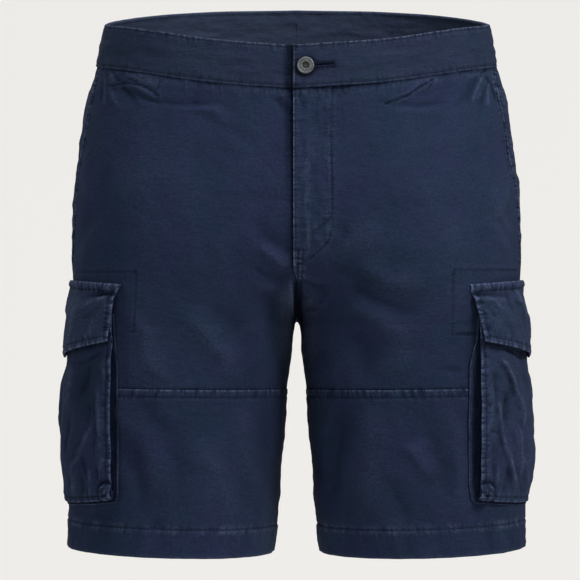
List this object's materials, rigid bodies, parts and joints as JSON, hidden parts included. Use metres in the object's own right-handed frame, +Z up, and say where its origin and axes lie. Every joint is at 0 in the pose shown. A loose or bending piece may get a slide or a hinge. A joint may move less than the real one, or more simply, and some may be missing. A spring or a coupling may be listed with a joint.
{
  "type": "cargo shorts",
  "caption": "Men's cargo shorts in plain cotton, filled out as if worn and hollow, with a buttoned waistband, lapped fly and flapped bellows pockets on the thighs.",
  "frame": {"origin": "centre of the waist opening, half way up the waistband, on the plane between the left and right halves", "axes": "+X to the wearer's left, +Y to the wearer's back, so -Y is the front, +Z up towards the waist"},
  "size_m": [0.4252, 0.2592, 0.4977],
  "materials": {
    "navy_cotton": "worn-in slubby plain weave, matt with a faint nap",
    "navy_cotton_band": "the same cotton, faded a little along its edges",
    "navy_cotton_pocket": "the same cotton, faded a little along its edges",
    "gunmetal": "antiqued gunmetal button"
  },
  "bodies": {
    "root": {"front_upper_left": "navy_cotton", "front_lower_left": "navy_cotton", "back_left": "navy_cotton", "waistband_left": "navy_cotton_band", "cargo_face_left": "navy_cotton_pocket", "cargo_gusset_left": "navy_cotton_pocket", "cargo_flap_left": "navy_cotton_pocket", "front_upper_right": "navy_cotton", "front_lower_right": "navy_cotton", "back_right": "navy_cotton", "waistband_right": "navy_cotton_band", "cargo_face_right": "navy_cotton_pocket", "cargo_gusset_right": "navy_cotton_pocket", "cargo_flap_right": "navy_cotton_pocket", "button": "gunmetal"}
  },
  "joints": []
}
